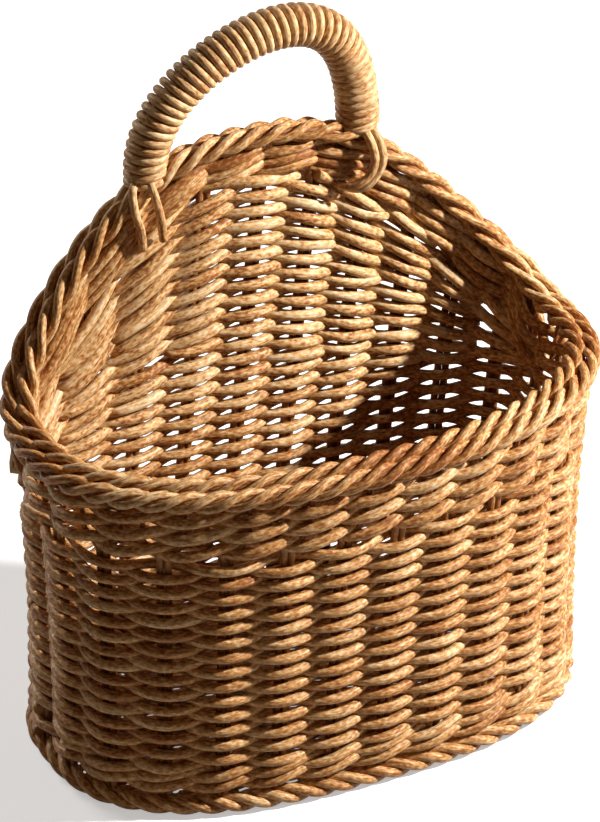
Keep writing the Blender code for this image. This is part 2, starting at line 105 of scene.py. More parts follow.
def cane_piece(name, canes, radius, finish, sides=CANE_SIDES, closed=False):
    """Round canes bent along rows of points. Each has its length and turn as UV."""
    corners, faces, smooth, uv = [], [], [], []
    first = 0
    for number, path in enumerate(canes):
        path = np.asarray(path, float)
        count = len(path)
        width = np.broadcast_to(radius, (count,)) if np.ndim(radius) == 0 else np.asarray(radius)
        ahead = np.roll(path, -1, axis=0) - np.roll(path, 1, axis=0)
        if not closed:
            ahead[0], ahead[-1] = path[1] - path[0], path[-1] - path[-2]
        ahead = unit(ahead)
        side = np.empty_like(path)
        start = np.cross(ahead[0], (0.0, 0.0, 1.0))
        if np.linalg.norm(start) < NEARLY_UPRIGHT:
            start = np.cross(ahead[0], (0.0, 1.0, 0.0))
        side[0] = unit(start)
        for step in range(1, count):
            carried = side[step - 1] - ahead[step] * (side[step - 1] @ ahead[step])
            side[step] = carried / math.sqrt(carried @ carried)
        lift = np.cross(ahead, side)
        if closed:
            carried = side[-1] - ahead[0] * (side[-1] @ ahead[0])
            slip = math.atan2(carried @ lift[0], carried @ side[0])
            back = -slip * np.arange(count)[:, None] / count
            side, lift = (side * np.cos(back) + lift * np.sin(back),
                          lift * np.cos(back) - side * np.sin(back))
        turn = 2 * math.pi * np.arange(sides) / sides
        ring = (np.cos(turn)[None, :, None] * side[:, None, :]
                + np.sin(turn)[None, :, None] * lift[:, None, :])
        corners.append((path[:, None, :] + width[:, None, None] * ring + middle).reshape(-1, 3))
        links = count if closed else count - 1
        here = np.arange(links)[:, None]
        around = np.arange(sides)[None, :]
        there = (here + 1) % count
        beside = (around + 1) % sides
        quads = np.stack([here * sides + around, here * sides + beside,
                          there * sides + beside, there * sides + around], axis=-1)
        faces += (quads.reshape(-1, 4) + first).tolist()
        smooth += [True] * (links * sides)
        gaps = np.linalg.norm(np.diff(path, axis=0), axis=1)
        run = np.concatenate(([0.0], np.cumsum(gaps), [np.sum(gaps) + gaps[0]]))
        run = run + GRAIN_PER_CANE * (number + 1) + GRAIN_PER_LETTER * len(name)
        low, high = run[:links][:, None] + 0 * around, run[1:links + 1][:, None] + 0 * around
        left, right = around / sides + 0 * here, (around + 1) / sides + 0 * here
        uv.append(np.stack([low, left, low, right, high, right, high, left], axis=-1).ravel())
        if not closed:
            faces.append((first + np.arange(sides)).tolist()[::-1])
            faces.append((first + (count - 1) * sides + np.arange(sides)).tolist())
            smooth += [False, False]
            for end in (run[0], run[count - 1]):
                uv.append(np.tile([end, 0.5], sides))
        first += count * sides
    mesh = bpy.data.meshes.new(name)
    mesh.from_pydata(np.concatenate(corners).tolist(), [], faces)
    mesh.polygons.foreach_set("use_smooth", smooth)
    mesh.uv_layers.new(name="UVMap").data.foreach_set("uv", np.concatenate(uv))
    mesh.materials.append(finish)
    mesh.update()
    piece = bpy.data.objects.new(name, mesh)
    bpy.context.scene.collection.objects.link(piece)
    return piece


def joined(tree, source, target):
    """A wire from one node's result to another node's socket."""
    tree.links.new(source, target)


# Grain of peeled cane: runs per metre along it, runs round it, and detail.
STREAKS = (90.0, 3.2, 3.0)
MOTTLES = (480.0, 2.0, 4.0)
TONES = (16.0, 0.15, 1.0)
MOTTLE_SHARE = 0.62
TONE_SHARE = 0.38
BROWN_UP_TO = 0.39
TAN_AT = 0.505
PALE_FROM = 0.63
STREAK_DARK = 0.3
STREAK_LIGHT = 0.6
STREAK_SHADE = 0.62
STREAK_DEPTH = 0.0002
STREAK_STRENGTH = 0.5
SATIN = 0.48
DULLER = 0.12
SHINIER = 0.10


def cane_finish(name, pale, tan, brown, roughness=SATIN):
    """Peeled cane: fine streaks along it, soft brown mottling and a satin gloss."""
    finish = bpy.data.materials.new(name)
    finish.use_nodes = True
    tree = finish.node_tree
    shader = tree.nodes["Principled BSDF"]

    def node(kind, **settings):
        """A new node of the finish, with its settings."""
        made = tree.nodes.new(kind)
        for key, value in settings.items():
            setattr(made, key, value)
        return made

    def worked(kind, first, second):
        """One step of arithmetic, on numbers or on other nodes' results."""
        made = node("ShaderNodeMath", operation=kind)
        for socket, value in zip(made.inputs, (first, second)):
            if isinstance(value, (int, float)):
                socket.default_value = value
            else:
                joined(tree, value, socket)
        return made.outputs[0]

    place = node("ShaderNodeUVMap", uv_map="UVMap")
    parts = node("ShaderNodeSeparateXYZ")
    joined(tree, place.outputs["UV"], parts.inputs[0])
    along, turn = parts.outputs[0], worked("MULTIPLY", parts.outputs[1], 2 * math.pi)
    around_x, around_y = worked("COSINE", turn, 0.0), worked("SINE", turn, 0.0)

    def grain(lengthways, crossways, detail):
        """Noise that is stretched along the cane."""
        spot = node("ShaderNodeCombineXYZ")
        joined(tree, worked("MULTIPLY", along, lengthways), spot.inputs[0])
        joined(tree, worked("MULTIPLY", around_x, crossways), spot.inputs[1])
        joined(tree, worked("MULTIPLY", around_y, crossways), spot.inputs[2])
        noise = node("ShaderNodeTexNoise")
        noise.inputs["Scale"].default_value = 1.0
        noise.inputs["Detail"].default_value = detail
        joined(tree, spot.outputs[0], noise.inputs["Vector"])
        return noise.outputs["Fac"]

    streak = grain(*STREAKS)
    mottle = grain(*MOTTLES)
    tone = grain(*TONES)
    mixed = worked("ADD", worked("MULTIPLY", mottle, MOTTLE_SHARE), worked("MULTIPLY", tone, TONE_SHARE))
    ramp = node("ShaderNodeValToRGB")
    ramp.color_ramp.elements[0].position = BROWN_UP_TO
    ramp.color_ramp.elements[0].color = (*brown, 1.0)
    ramp.color_ramp.elements[1].position = PALE_FROM
    ramp.color_ramp.elements[1].color = (*pale, 1.0)
    between = ramp.color_ramp.elements.new(TAN_AT)
    between.color = (*tan, 1.0)
    joined(tree, mixed, ramp.inputs["Fac"])
    fibre = node("ShaderNodeMapRange")
    fibre.inputs["From Min"].default_value = STREAK_DARK
    fibre.inputs["From Max"].default_value = STREAK_LIGHT
    fibre.inputs["To Min"].default_value = STREAK_SHADE
    fibre.inputs["To Max"].default_value = 1.0
    joined(tree, streak, fibre.inputs["Value"])
    shade = node("ShaderNodeMix", data_type="RGBA", blend_type="MULTIPLY")
    shade.inputs["Factor"].default_value = 1.0
    joined(tree, ramp.outputs["Color"], shade.inputs["A"])
    joined(tree, fibre.outputs["Result"], shade.inputs["B"])
    joined(tree, shade.outputs["Result"], shader.inputs["Base Color"])
    sheen = node("ShaderNodeMapRange")
    sheen.inputs["To Min"].default_value = roughness + DULLER
    sheen.inputs["To Max"].default_value = roughness - SHINIER
    joined(tree, streak, sheen.inputs["Value"])
    joined(tree, sheen.outputs["Result"], shader.inputs["Roughness"])
    bump = node("ShaderNodeBump")
    bump.inputs["Strength"].default_value = STREAK_STRENGTH
    bump.inputs["Distance"].default_value = STREAK_DEPTH
    joined(tree, streak, bump.inputs["Height"])
    joined(tree, bump.outputs["Normal"], shader.inputs["Normal"])
    shader.inputs["Specular IOR Level"].default_value = 0.35
    shader.inputs["Specular Tint"].default_value = (1.0, 0.80, 0.58, 1.0)
    shader.inputs["Coat Weight"].default_value = 0.04
    shader.inputs["Coat Roughness"].default_value = 0.3
    return finish


DRY = 0.5
mat_cane = cane_finish("base_cane", (0.66, 0.40, 0.18), (0.48, 0.24, 0.085), (0.26, 0.10, 0.03), DRY)
stick_cane = cane_finish("stick_cane", (0.55, 0.30, 0.12), (0.40, 0.17, 0.055), (0.22, 0.08, 0.02), DRY)

STICKS = (-0.078, -0.052, -0.026, 0.0, 0.026, 0.052, 0.078)
STICK_RADIUS = 0.0013
STICK_HEIGHT = 0.0035
STICK_POINTS = 200
STICK_STEP = 8
MAT_RADIUS = 0.0015
MAT_ROWS = 35
MAT_SPREAD = 0.995
MAT_RISE = 0.0020
MAT_LIFT = 0.0001
MAT_POINTS = 320


def inside_foot(x, y, margin):
    """Whether places lie within the foot's outline by a margin."""
    power = np.where(y < 0, FOOT_FRONT_POWER, FOOT_BACK_POWER)
    depth = np.where(y < 0, FOOT_FRONT, FOOT_BACK) - margin
    return (np.abs(x) / (FOOT_LEFT - margin)) ** power + (np.abs(y) / depth) ** power < 1


sticks = []
for across in STICKS:
    depth = np.linspace(-FOOT_FRONT, FOOT_BACK, STICK_POINTS)
    depth = depth[inside_foot(across + 0 * depth, depth, MAT_EDGE + STICK_RADIUS)]
    sticks.append([(across, y, STICK_HEIGHT) for y in depth[::STICK_STEP]])
base_sticks = cane_piece("base_sticks", sticks, STICK_RADIUS, stick_cane)
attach(base_sticks, "root")
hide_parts(*["base_stick_%d" % number for number in range(1, 6)])

mat = []
mat_margin = MAT_EDGE + MAT_RADIUS
mat_depths = np.linspace(-FOOT_FRONT + mat_margin, FOOT_BACK - mat_margin, MAT_ROWS) * MAT_SPREAD
for row, depth in enumerate(mat_depths):
    x = np.linspace(-FOOT_LEFT, FOOT_RIGHT, MAT_POINTS)
    x = x[inside_foot(x, depth + 0 * x, mat_margin)]
    phase = x / (STICKS[1] - STICKS[0])
    side = 1 if row % 2 else -1
    z = STICK_HEIGHT + MAT_LIFT + side * MAT_RISE * np.cos(math.pi * phase)
    mat.append(np.stack([x, depth + 0 * x, z], axis=-1))
base_mat = cane_piece("base_mat_canes", mat, MAT_RADIUS, mat_cane)
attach(base_mat, "root")
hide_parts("base_mat")


# Stakes: twenty-five pairs of thin rods that stand round the base and carry the wall.
# They lean to the right as they rise. Below the top band the two rods of a pair part,
# and each joins a rod of the next pair, so that the band is twined round new pairs.
RIM_LEFT = 0.1095
RIM_RIGHT = 0.1115
RIM_FRONT = 0.0672
RIM_BACK = 0.0475
RIM_FRONT_POWER = 2.25
RIM_BACK_POWER = 3.45
RIM_HEIGHT = 0.1435
ARCH_RISE = 0.0824
ARCH_WIDTH = 0.46
ARCH_POWER = 2.5
FLARE_POWER = 3.3
LEAN_ROUND = 0.03
LEAN_BACK = 0.07
STAKES = 25
STAKE_PHASE = 0.3
FLARE_LIMIT = 1.2
SLOPE_STEP = 0.004
HEIGHT_TRIES = 12

rim = d_outline(RIM_LEFT, RIM_RIGHT, RIM_FRONT, RIM_BACK, RIM_FRONT_POWER, RIM_BACK_POWER)
rim_length = rim[0][-1]
spacing = foot[0][-1] / STAKES


def eased(part):
    """0 to 1 with a soft start and end."""
    part = np.clip(part, 0.0, 1.0)
    return part * part * (3 - 2 * part)


def rim_height(share):
    """Height of the border's centre: level round the front, arched at the back."""
    share = np.mod(share, 1.0)
    from_back = 2 * np.minimum(share, 1.0 - share) / ARCH_WIDTH
    return RIM_HEIGHT + ARCH_RISE * np.maximum(0.0, 1.0 - from_back ** ARCH_POWER) ** 2


def below_rim(share, drop):
    """Height of a line that runs at a distance below the border's centre."""
    rise = rim_height(share + SLOPE_STEP) - rim_height(share - SLOPE_STEP)
    slope = rise / (2 * SLOPE_STEP * rim_length)
    return rim_height(share) - drop * np.hypot(1.0, slope)


def leaned(share, height):
    """Place round the wall of a stake's line at a height: it leans to the right."""
    lean = LEAN_ROUND + LEAN_BACK * np.cos(2 * math.pi * share)
    return share + lean * height / rim_length


def wall_point(share, height, out=0.0, along=0.0):
    """Points of the wall on the line of a stake, moved outward and along the wall."""
    share, height = np.asarray(share, float), np.asarray(height, float)
    at = leaned(share, height)
    flare = (np.clip(height / rim_height(at), 0.0, FLARE_LIMIT) ** FLARE_POWER)[..., None]
    spot = on_outline(foot, at) * (1 - flare) + on_outline(rim, at) * flare
    away = unit(outward_from(foot, at) * (1 - flare) + outward_from(rim, at) * flare)
    sideways = np.stack([away[..., 1], -away[..., 0]], axis=-1)
    spot = spot + away * np.asarray(out)[..., None] + sideways * np.asarray(along)[..., None]
    return np.concatenate([spot, height[..., None]], axis=-1)


def stake_share(index):
    """Place round the foot of a pair of stakes."""
    return (np.asarray(index, float) + STAKE_PHASE) / STAKES


def height_on_stake(share, drop, lap=None):
    """Height at which a leaning stake meets a line below the border, or a band's round."""
    at = share
    for _ in range(HEIGHT_TRIES):
        more = 0.0 if lap is None else band_drop(at, lap)
        height = below_rim(at, drop + more)
        at = leaned(share, height)
    return height


ROD_RADIUS = 0.0015
ROD_TIP_RADIUS = 0.0010
PAIR_OFFSET = 0.0015
PARTED_OFFSET = 0.0028
ROD_FOOT = 0.0016
PARTING = 0.0100
ROD_END_DROP = 0.0030
ROD_POINTS = 60
PARTING_DROP = 0.0020
PARTING_LAP = 0.5

# The top band lies this far below the border, less under the arch of the back.
BAND_FRONT_DROP = 0.0110
BAND_BACK_DROP = 0.0046
BAND_FRONT_PITCH = 0.0075
BAND_BACK_PITCH = 0.0040
BAND_SPIRAL = 2.75
BAND_SEAM = 0.30
CLOSING = 0.12


def arch_part(share):
    """0 under the level front of the border, 1 where the back arches up."""
    return eased((rim_height(share) - RIM_HEIGHT) / (ARCH_RISE * CLOSING))


def band_drop(share, lap):
    """Distance of the band below the border's centre after a number of rounds."""
    arch = arch_part(share)
    last = BAND_FRONT_DROP + (BAND_BACK_DROP - BAND_FRONT_DROP) * arch
    pitch = BAND_FRONT_PITCH + (BAND_BACK_PITCH - BAND_FRONT_PITCH) * arch
    return last + pitch * (BAND_SPIRAL - np.maximum(lap, BAND_SEAM))


# The rods' finish is darker than the weavers'. This is partly the rods' own darker tone and partly
# painted shade for the deep gaps between the rows where bare rods show. The border's cores use it too.
rod_tone_and_painted_shade = cane_finish("stake_rods", (0.46, 0.22, 0.075), (0.32, 0.12, 0.033), (0.17, 0.05, 0.012), DRY)

for number in range(STAKES):
    share = stake_share(number)
    top = height_on_stake(share, ROD_END_DROP)
    parting = height_on_stake(share, PARTING_DROP, PARTING_LAP)
    height = np.linspace(ROD_FOOT, top, ROD_POINTS)
    parted = eased((height - parting) / PARTING)
    spread = PAIR_OFFSET + (spacing / 2 - PAIR_OFFSET - PARTED_OFFSET) * parted
    rods = [wall_point(share, height, 0 * height, side * spread) for side in (-1, 1)]
    thickness = ROD_RADIUS + (ROD_TIP_RADIUS - ROD_RADIUS) * parted
    stake = cane_piece("stake_%02d" % (number + 1), rods, thickness, rod_tone_and_painted_shade)
    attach(stake, "root")
    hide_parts("stake_pair_%02d" % (number + 1))


# Foot border: the ends of the stakes turned down and twisted together into a rope that
# the basket stands on. Two rounds of twined cane lie on it and hold the base mat's edge.
FOOT_ROPE_RADIUS = 0.0020
FOOT_ROPE_LAY = 0.0022
FOOT_ROPE_OUT = 0.0016
FOOT_ROPE_TURNS = 17
FOOT_ROPE_LIFT = 0.0001
ROPE_STRANDS = 3
ROPE_POINTS_PER_TURN = 36
PALE = (0.91, 0.64, 0.35)
TAN = (0.60, 0.29, 0.09)
BROWN = (0.29, 0.085, 0.02)
foot_cane = cane_finish("foot_cane", PALE, TAN, BROWN)


def rope(place, across, turns, strands, lay_radius, hand):
    """Closed strands laid round a centre line; hand 1 rises to the right outside."""
    share = np.arange(len(place)) / len(place)
    ahead = unit(np.roll(place, -1, axis=0) - np.roll(place, 1, axis=0))
    upward = unit(np.cross(across, ahead))
    laid = []
    for strand in range(strands):
        angle = hand * 2 * math.pi * (turns * share + strand / strands)
        way = across * np.cos(angle)[:, None] + upward * np.sin(angle)[:, None]
        laid.append(place + way * lay_radius)
    return laid


share = np.linspace(0.0, 1.0, FOOT_ROPE_TURNS * ROPE_POINTS_PER_TURN, endpoint=False)
spot = on_outline(foot, share) + outward_from(foot, share) * FOOT_ROPE_OUT
centre = np.column_stack([spot, 0 * share + FOOT_ROPE_RADIUS + FOOT_ROPE_LAY + FOOT_ROPE_LIFT])
across = np.column_stack([outward_from(foot, share), 0 * share])
strands = rope(centre, across, FOOT_ROPE_TURNS, ROPE_STRANDS, FOOT_ROPE_LAY, -1)
foot_rope = cane_piece("foot_rope", strands, FOOT_ROPE_RADIUS, foot_cane, closed=True)
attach(foot_rope, "root")
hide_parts("foot_border")

SEAM = 19
WEAVER_RADIUS = 0.0020
PRESSED = 0.0002
CROSSING = ROD_RADIUS + WEAVER_RADIUS - PRESSED
POINTS_PER_STAKE = 9
WAVE = 0.35
HAND_HEIGHT = 0.00028
HAND_THICKNESS = 0.07
FOOT_ROW = 0.0090
FOOT_ROW_PITCH = 0.0046
FOOT_ROW_LIFT = 0.0016
FOOT_CANE_RADIUS = 0.0020
FOOT_CROSSING = 0.0027
FOOT_ROW_OUT = 0.0007

# Three swings of different size, pace and start add up to an uneven one.
SWINGS = ((1.0, 0.83, 1.0), (1.0, 2.17, 2.3), (0.6, 5.31, 4.1))
SWING_REACH = 2.2


def uneven(steps, start):
    """A slow, uneven swing between about -1 and 1, as in any hand-woven row."""
    swings = [size * np.sin(pace * steps + offset * start) for size, pace, offset in SWINGS]
    return sum(swings) / SWING_REACH


def wave(steps):
    """1 where a cane passes outside a pair, -1 inside the next, flat against both."""
    return np.tanh(WAVE * np.cos(math.pi * steps)) / math.tanh(WAVE)


def twined_cane(strand, rounds, row_height, shift, rise, crossing, out=0.0):
    """One of two canes that change places between the pairs and rise to the right."""
    steps = np.linspace(0.0, rounds * STAKES - 1, (rounds * STAKES - 1) * POINTS_PER_STAKE + 1)
    share = stake_share(SEAM + shift + steps)
    side = wave(steps + strand)
    lift = -rise * np.sin(math.pi * (steps + strand))
    height = row_height(share, steps / STAKES) + lift
    return wall_point(share, height, crossing * side + out)


def foot_row(share, lap):
    """Height of the twined canes above the foot, after a number of rounds."""
    return FOOT_ROW + FOOT_ROW_PITCH * lap


FOOT_ROUNDS = 2
weaver_cane = cane_finish("weaver_cane", PALE, TAN, BROWN)
for strand, letter in enumerate("ab"):
    cane = twined_cane(strand, FOOT_ROUNDS, foot_row, 0.0, FOOT_ROW_LIFT, FOOT_CROSSING, FOOT_ROW_OUT)
    row = cane_piece("foot_row_%s" % letter, [cane], FOOT_CANE_RADIUS, weaver_cane)
    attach(row, "root")
    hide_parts("foot_twined_%s" % letter)


# Wall: one cane after another goes round the bowl, outside one pair of stakes and inside
# the next. The number of pairs is odd, so the canes change sides at every round.
WALL_START = 0.0183
ROW_PITCH = 0.0033
WALL_ROWS = 28
WALL_CANES = 4
WALL_HEIGHT_START = 0.4
WALL_THICKNESS_START = 1.9

crossings = WALL_ROWS * STAKES
ends = [round(crossings * number / WALL_CANES) for number in range(WALL_CANES + 1)]
for number in range(WALL_CANES):
    steps = np.linspace(ends[number], ends[number + 1],
                        (ends[number + 1] - ends[number]) * POINTS_PER_STAKE + 1)
    height = WALL_START + ROW_PITCH * steps / STAKES + HAND_HEIGHT * uneven(steps, WALL_HEIGHT_START)
    cane = wall_point(stake_share(SEAM + steps), height, CROSSING * wave(steps))
    thickness = WEAVER_RADIUS * (1 + HAND_THICKNESS * uneven(steps, WALL_THICKNESS_START))
    row = cane_piece("wall_cane_%d" % (number + 1), [cane], thickness, weaver_cane)
    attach(row, "root")
    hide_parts("wall_weaver_%d" % (number + 1))


def wall_top(index):
    """Height of the last plain row on a pair of stakes."""
    count = crossings - 1 - (SEAM + crossings - 1 - index) % STAKES
    return WALL_START + ROW_PITCH * count / STAKES


# Back: short rows that turn back inside the arch. They fill it in and tilt little by
# little, until the last of them runs along under the border.
PACKING_GAP = 0.0034
BACK_PITCH = 0.0031
BACK_CANE_RADIUS = 0.0022
STEEP_SHARE = 0.88
LOOP_SHARE = 0.45
LOOSE_LOOP_SHARE = 0.85
TURN_POINTS = 9
BACK_CANES = 3
BACK_START = 3.1
half = STAKES // 2
flanks = range(-half, half + 1)

start = {index: wall_top(index % STAKES) for index in flanks}
limit = {index: float(height_on_stake(stake_share(index), PACKING_GAP, 0.0)) for index in flanks}
reached = dict(start)


def tilted_pitch(index, near):
    """Upright distance to the next row on a stake, less where the row is steep."""
    known = [other for other in near if other in reached]
    slopes = [abs(reached[other] - reached[index]) / spacing for other in known]
    return BACK_PITCH * (1.0 - (1.0 - STEEP_SHARE) * min(1.0, max(slopes)))


def row_end(side):
    """Farthest stake on a side that lags behind the arch and has room for two rows."""
    progress = (reached[0] + BACK_PITCH - start[0]) / (limit[0] - start[0])
    farthest = 0
    for count in range(1, half):
        index = side * count
        goal = start[index] + (limit[index] - start[index]) * progress
        two_rows = 2 * tilted_pitch(index, (index - side,))
        if reached[index] + two_rows > limit[index] + BACK_PITCH / 2:
            break
        if reached[index] + BACK_PITCH / 2 < goal:
            farthest = index
    return farthest


rows = []
here, side = row_end(-1), 1
while reached[0] + BACK_PITCH < limit[0]:
    there = row_end(side)
    if there == here:
        break
    travel = 1 if there >= here else -1
    stakes = list(range(here, there + travel, travel))
    rise = {index: tilted_pitch(index, [n for n in (index - 1, index + 1) if n in stakes])
            for index in stakes}
    for index in stakes:
        reached[index] += rise[index]
    rows.append(stakes)
    here, side = there, -side

# The rows are beaten down evenly: on each stake they share the room that it has.
counts = {index: sum(index in stakes for stakes in rows) for index in flanks}
laid = dict.fromkeys(flanks, 0)
row_heights = []
for stakes in rows:
    heights = {}
    for index in stakes:
        laid[index] += 1
        heights[index] = start[index] + (limit[index] - start[index]) * laid[index] / counts[index]
    row_heights.append(heights)


def loop_reach(heights, before, last):
    """How far a row runs on past its last stake before it turns, and its slope there."""
    slope = (heights[last] - heights[before]) / spacing
    beyond = limit.get(2 * last - before, limit[last])
    closing = slope - (beyond - limit[last]) / spacing
    meets = (limit[last] - heights[last]) / closing if closing > 0 else spacing
    woven = heights[last] + slope * spacing < beyond
    longest = (LOOP_SHARE if woven else LOOSE_LOOP_SHARE) * spacing
    return min(max(meets, CROSSING), longest), slope


# The back's canes are a paler copy of the wall's cane: painted light for the lit inside of the back.
back_cane_painted_light = cane_finish("back_cane_painted_light", (0.94, 0.71, 0.43), (0.76, 0.43, 0.165), (0.33, 0.10, 0.022))
path = []
window = np.ones(POINTS_PER_STAKE) / POINTS_PER_STAKE
for number, (stakes, heights) in enumerate(zip(rows, row_heights)):
    travel = stakes[1] - stakes[0]
    steps = np.linspace(0.0, len(stakes) - 1, (len(stakes) - 1) * POINTS_PER_STAKE + 1)
    index = stakes[0] + travel * steps
    known = np.array([heights[index] for index in stakes])
    height = np.interp(steps, np.arange(len(stakes)), known)
    padded = np.pad(height, POINTS_PER_STAKE // 2, mode="reflect", reflect_type="odd")
    height = np.convolve(padded, window, mode="valid")
    path.append(wall_point(stake_share(index), height, CROSSING * wave(index + number)))
    if number + 1 < len(rows):
        last = stakes[-1]
        part = np.arange(1, TURN_POINTS) / TURN_POINTS
        turn = math.pi * (0.5 - part)
        reach, slope = loop_reach(heights, stakes[-2], last)
        out = reach * np.cos(turn)
        upper = row_heights[number + 1][last]
        path.append(wall_point(stake_share(last) + 0 * part,
                               heights[last] + (upper - heights[last]) * part + slope * out,
                               float(wave(last + number)) * CROSSING * np.sin(turn),
                               travel * (PAIR_OFFSET + out)))
path = np.concatenate(path)
swing = uneven(np.arange(len(path)) / POINTS_PER_STAKE, BACK_START)
path[:, 2] += HAND_HEIGHT * swing
thickness = BACK_CANE_RADIUS * (1 + HAND_THICKNESS * swing[::-1])
cuts = [round(len(path) * number / BACK_CANES) for number in range(BACK_CANES + 1)]
for number in range(BACK_CANES):
    stretch = slice(cuts[number], cuts[number + 1] + 1)
    row = cane_piece("back_cane_%d" % (number + 1), [path[stretch]], thickness[stretch], back_cane_painted_light)
    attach(row, "root")
    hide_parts("back_packing_%d" % (number + 1))


# Top band: two canes twined three times round the parted stakes below the border. The
# rounds lie wide apart round the front and close together under the arch.
BAND_RADIUS = 0.0022
BAND_LIFT = 0.0018
BAND_ROUNDS = 3
BAND_SHIFT = 0.5


def band_row(share, lap):
    """Height of the band after a number of rounds."""
    return height_on_stake(share, 0.0, lap)


for strand, letter in enumerate("ab"):
    cane = twined_cane(strand, BAND_ROUNDS, band_row, BAND_SHIFT, BAND_LIFT, CROSSING)
    row = cane_piece("band_cane_%s" % letter, [cane], BAND_RADIUS, weaver_cane)
    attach(row, "root")
    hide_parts("top_twined_%s" % letter)


# Border: the tops of the stakes bent over and rolled round each other along the rim in
# two ropes side by side, the inner one a little higher. Each has a thin cane in the rods'
# darker finish as its core, which shows as painted shade in the gaps between the strands.
# They follow the arch of the back.
BORDER_CANE_RADIUS = 0.0017
BORDER_LAY = 0.0027
BORDER_TURNS = 18
BORDER_CORE = 0.0014
OUTER_ROPE = (0.0026, -0.0014)
INNER_ROPE = (-0.0034, 0.0006)
border_cane = cane_finish("border_cane", PALE, TAN, BROWN)

share = np.linspace(0.0, 1.0, BORDER_TURNS * ROPE_POINTS_PER_TURN, endpoint=False)
across = np.column_stack([outward_from(rim, share), 0 * share])
for name, (out, raised) in (("outer", OUTER_ROPE), ("inner", INNER_ROPE)):
    spot = on_outline(rim, share) + outward_from(rim, share) * out
    centre = np.column_stack([spot, rim_height(share) + raised])
    # The core fills the middle of the rope. Its darker finish is painted shade between the strands.
    core = cane_piece("border_%s_core" % name, [centre], BORDER_CORE, rod_tone_and_painted_shade, closed=True)
    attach(core, "root")
    strands = rope(centre, across, BORDER_TURNS, ROPE_STRANDS, BORDER_LAY, 1)
    for number, strand in enumerate(strands):
        cane = cane_piece("border_%s_%d" % (name, number + 1), [strand],
                          BORDER_CANE_RADIUS, border_cane, closed=True)
        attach(cane, "root")
        if name == "outer":
            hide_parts("border_strand_%s" % "abc"[number])


# Handle: a stout cane bent into a bow and set on the border of the back. It is bound
# from end to end with one thin cane, wound close, and is the loop to hang the basket by.
HANDLE_HALF_SPAN = 0.0439
HANDLE_SEAT = 0.2225
HANDLE_RISE = 0.0470
HANDLE_OFFSET = 0.0012
HANDLE_SKEW = 0.0116
HANDLE_DEPTH = 0.0472
HANDLE_LEFT_END = 0.2165
HANDLE_RIGHT_END = 0.2200
HANDLE_CORE = 0.0052
WRAP_RADIUS = 0.0017
WRAP_TURNS = 44
WRAP_POINTS_PER_TURN = 20
BOW_POINTS = 721
CORE_POINTS = 60
CORE_SIDES = 16
WRAP_SIDES = 10
AIM_STEP = 0.002
handle_cane = cane_finish("handle_cane", (0.91, 0.64, 0.35), (0.72, 0.42, 0.18), (0.38, 0.14, 0.04))

angle = math.pi * (1 - np.linspace(0.0, 1.0, BOW_POINTS))
lean = HANDLE_SKEW * np.sin(angle) ** 2
bow_x = HANDLE_OFFSET + HANDLE_HALF_SPAN * np.cos(angle) + lean
bow_z = HANDLE_SEAT + HANDLE_RISE * np.abs(np.sin(angle))
bow_x = np.concatenate(([bow_x[0]], bow_x, [bow_x[-1]]))
bow_z = np.concatenate(([HANDLE_LEFT_END], bow_z, [HANDLE_RIGHT_END]))
bow_run = np.concatenate(([0.0], np.cumsum(np.hypot(np.diff(bow_x), np.diff(bow_z)))))


def bow_point(run):
    """Points at lengths along the middle of the bow."""
    x, z = np.interp(run, bow_run, bow_x), np.interp(run, bow_run, bow_z)
    return np.column_stack([x, HANDLE_DEPTH + 0 * x, z])


core = cane_piece("handle_core_rod", [bow_point(np.linspace(0.0, bow_run[-1], CORE_POINTS))],
                  HANDLE_CORE, handle_cane, sides=CORE_SIDES)
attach(core, "root")
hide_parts("handle_core")

turns = np.linspace(0.0, 1.0, WRAP_TURNS * WRAP_POINTS_PER_TURN + 1)
run = bow_run[-1] * turns
centre = bow_point(run)
further = bow_point(np.minimum(run + AIM_STEP, bow_run[-1]))
ahead = unit(further - bow_point(np.maximum(run - AIM_STEP, 0.0)))
deep = np.array([0.0, 1.0, 0.0])
inward = np.cross(ahead, deep)
angle = 2 * math.pi * WRAP_TURNS * turns
lay = deep * np.cos(angle)[:, None] + inward * np.sin(angle)[:, None]
wrap = cane_piece("handle_binding", [centre + lay * (HANDLE_CORE + WRAP_RADIUS)], WRAP_RADIUS,
                  handle_cane, sides=WRAP_SIDES)
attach(wrap, "root")
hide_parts("handle_wrap_left", "handle_wrap_right")


# Ties: the ends of the binding, bent over the border beside each foot of the handle. On
# the left two ends hang down inside. On the right a doubled loop comes down inside the
# border, turns to the left and goes into the weave.
TIE_RADIUS = 0.0017
TIE_STEPS = 7
TIE_GAP = 0.0033


def tie_path(points):
    """A smooth cane through a few points."""
    points = np.array(points)
    count = len(points)
    ends = np.vstack([2 * points[0] - points[1], points, 2 * points[-1] - points[-2]])
    path = [points[0]]
    for knot in range(count - 1):
        before, low, high, after = ends[knot:knot + 4]
        for part in np.arange(1, TIE_STEPS + 1) / TIE_STEPS:
            path.append(0.5 * (2 * low + (high - before) * part
                               + (2 * before - 5 * low + 4 * high - after) * part ** 2
                               + (3 * low - before - 3 * high + after) * part ** 3))
    return path


